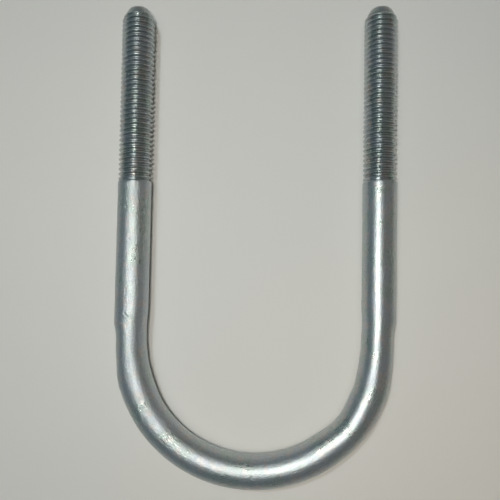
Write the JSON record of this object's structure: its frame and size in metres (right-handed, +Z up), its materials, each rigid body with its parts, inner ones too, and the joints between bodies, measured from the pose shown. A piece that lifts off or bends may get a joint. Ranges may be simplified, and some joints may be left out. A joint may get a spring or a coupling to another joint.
{
  "type": "u-bolt",
  "caption": "Round U-bolt: a zinc-plated steel bar bent to a half circle, with two parallel legs that are threaded at the ends, for clamping a tube to a plate.",
  "frame": {"origin": "under the middle of the bolt's length, halfway between the legs, on the surface that it lies on", "axes": "+Y along the legs towards their tips, +X from the left leg to the right leg, +Z up out of the plane of the U"},
  "size_m": [0.1, 0.172, 0.012],
  "materials": {
    "zinc_plated_bar": "bright zinc plate on drawn steel bar, lightly mottled and scratched",
    "zinc_plated_thread": "bright zinc plate on a rolled thread"
  },
  "bodies": {
    "root": {"bow": "zinc_plated_bar", "left_shank": "zinc_plated_bar", "right_shank": "zinc_plated_bar", "left_threaded_end": "zinc_plated_thread", "right_threaded_end": "zinc_plated_thread"}
  },
  "joints": []
}
